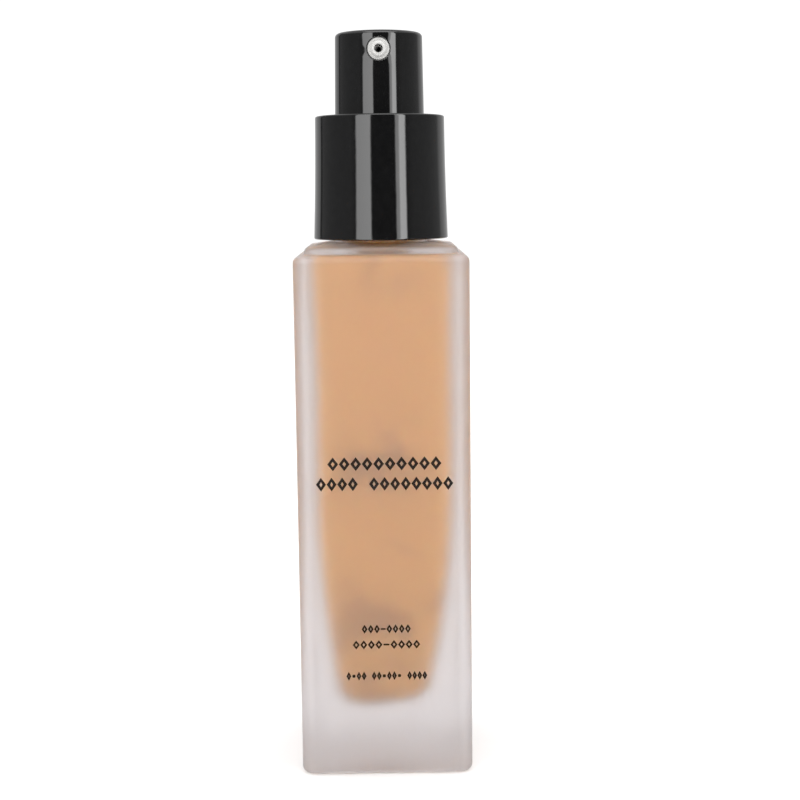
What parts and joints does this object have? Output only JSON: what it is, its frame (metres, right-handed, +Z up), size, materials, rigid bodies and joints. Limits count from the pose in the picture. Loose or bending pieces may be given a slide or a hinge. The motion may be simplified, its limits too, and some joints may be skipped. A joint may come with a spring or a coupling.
{
  "type": "foundation bottle",
  "caption": "Square frosted glass foundation bottle with a screw-on lotion pump: black collar, black press-down actuator and white front nozzle.",
  "frame": {"origin": "centre of the bottle's base, on the surface it stands on", "axes": "+Z up along the pump's axis; the nozzle and the printed front face -Y; +X to the right seen from the front"},
  "size_m": [0.03, 0.03, 0.1292],
  "materials": {
    "frosted_glass": "acid-frosted outside, smooth inside",
    "foundation": "opaque creamy liquid, warm tan",
    "gasket_foam": "white polyethylene foam",
    "closure_plastic": "black polypropylene, matt",
    "black_gloss": "piano-black gloss",
    "natural_plastic": "natural polypropylene",
    "tube_plastic": "natural polyethylene",
    "steel": "polished stainless steel",
    "white_plastic": "semi-gloss white"
  },
  "bodies": {
    "bottle": {"glass_bottle": "frosted_glass", "foundation_liquid": "foundation"},
    "gasket": {"neck_gasket": "gasket_foam"},
    "pump_engine": {"pump_housing": "natural_plastic", "chaplet": "natural_plastic", "dip_tube": "tube_plastic", "return_spring": "steel"},
    "closure": {"screw_closure": "closure_plastic", "collar_shell": "black_gloss"},
    "stem": {"upper_stem": "natural_plastic", "piston_rod": "natural_plastic"},
    "actuator_head": {"actuator_shell": "black_gloss", "actuator_core": "natural_plastic", "nozzle_insert": "white_plastic"},
    "piston": {"piston": "tube_plastic"},
    "inlet_ball": {"inlet_ball": "steel"}
  },
  "joints": [
    {"name": "pump_pull_out", "type": "slide", "parent": "bottle", "child": "gasket", "axis": [0, 0, 1], "range_m": [0, 0.1]},
    {"name": "thread_lift", "type": "slide", "parent": "gasket", "child": "pump_engine", "axis": [0, 0, 1], "range_m": [0, 0.0048]},
    {"name": "closure_turn", "type": "hinge", "parent": "pump_engine", "child": "closure", "pos_m": [0, 0, 0.1], "axis": [0, 0, 1], "range_deg": [0, 540]},
    {"name": "pump_stroke", "type": "slide", "parent": "pump_engine", "child": "stem", "axis": [0, 0, -1], "range_m": [0, 0.006], "stiffness_N_per_m": 700, "springref_m": -0.003, "deforming": ["return_spring"]},
    {"name": "actuator_turn", "type": "hinge", "parent": "stem", "child": "actuator_head", "pos_m": [0, 0, 0.118], "axis": [0, 0, 1], "continuous": true},
    {"name": "piston_travel", "type": "slide", "parent": "pump_engine", "child": "piston", "axis": [0, 0, -1], "range_m": [0, 0.00525]},
    {"name": "inlet_ball_lift", "type": "slide", "parent": "pump_engine", "child": "inlet_ball", "axis": [0, 0, 1], "range_m": [0, 0.0009]}
  ],
  "couplings": [
    {"joint": "thread_lift", "follows": "closure_turn", "m_per_rad": 0.00050532},
    {"joint": "piston_travel", "follows": "pump_stroke", "ratio": 0.8667}
  ]
}
